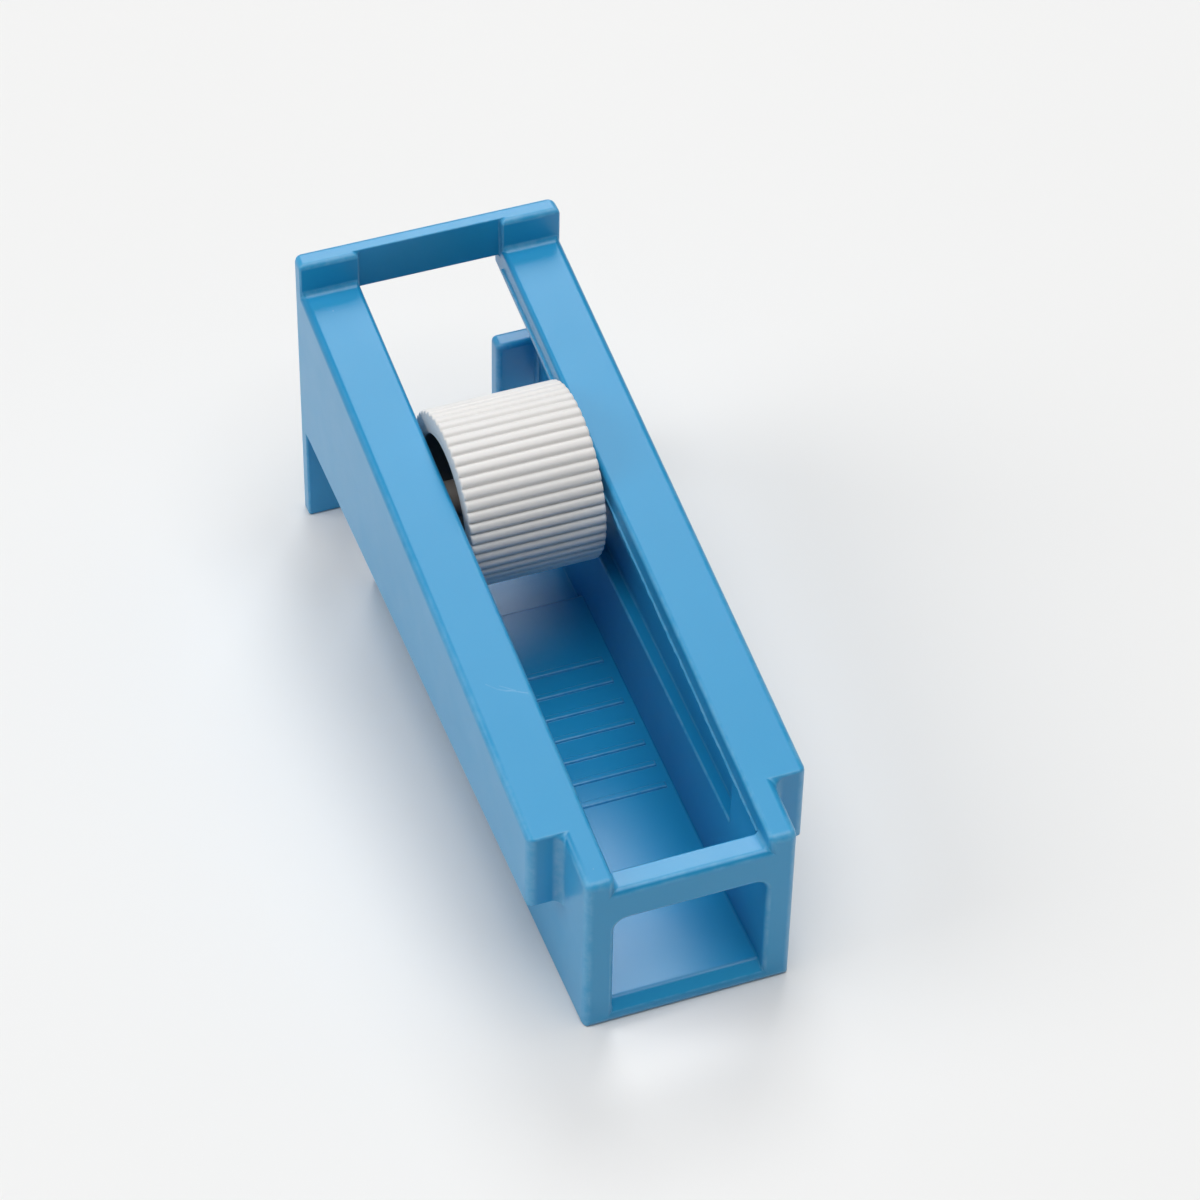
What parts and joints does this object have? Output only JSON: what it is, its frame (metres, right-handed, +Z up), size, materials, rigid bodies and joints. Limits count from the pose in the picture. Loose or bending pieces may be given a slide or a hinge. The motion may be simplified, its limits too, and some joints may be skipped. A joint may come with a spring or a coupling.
{
  "type": "roller tubing clamp",
  "caption": "Open-topped roller clamp for flexible tubing: a ribbed roller slides down a sloping channel and pinches the tube against the floor near the nose.",
  "frame": {"origin": "on the surface the clamp stands on, under the middle of its length and width", "axes": "+X along the clamp from the end wall to the nose, +Y across it, +Z up"},
  "size_m": [0.074, 0.0264, 0.0328],
  "materials": {
    "housing": "semi-gloss moulded plastic, slightly translucent",
    "pin": "satin, grey-brown",
    "roller": "satin moulded plastic, white"
  },
  "bodies": {
    "housing": {"housing": "housing"},
    "pin": {"pin": "pin"},
    "roller": {"roller": "roller"}
  },
  "joints": [
    {"name": "pin_slide", "type": "slide", "parent": "housing", "child": "pin", "axis": [0.9899, 0, -0.142], "range_m": [-0.016, 0.0374]},
    {"name": "roller_spin", "type": "hinge", "parent": "pin", "child": "roller", "pos_m": [-0.0119, 0, 0.0207], "axis": [0, 1, 0], "continuous": true}
  ]
}
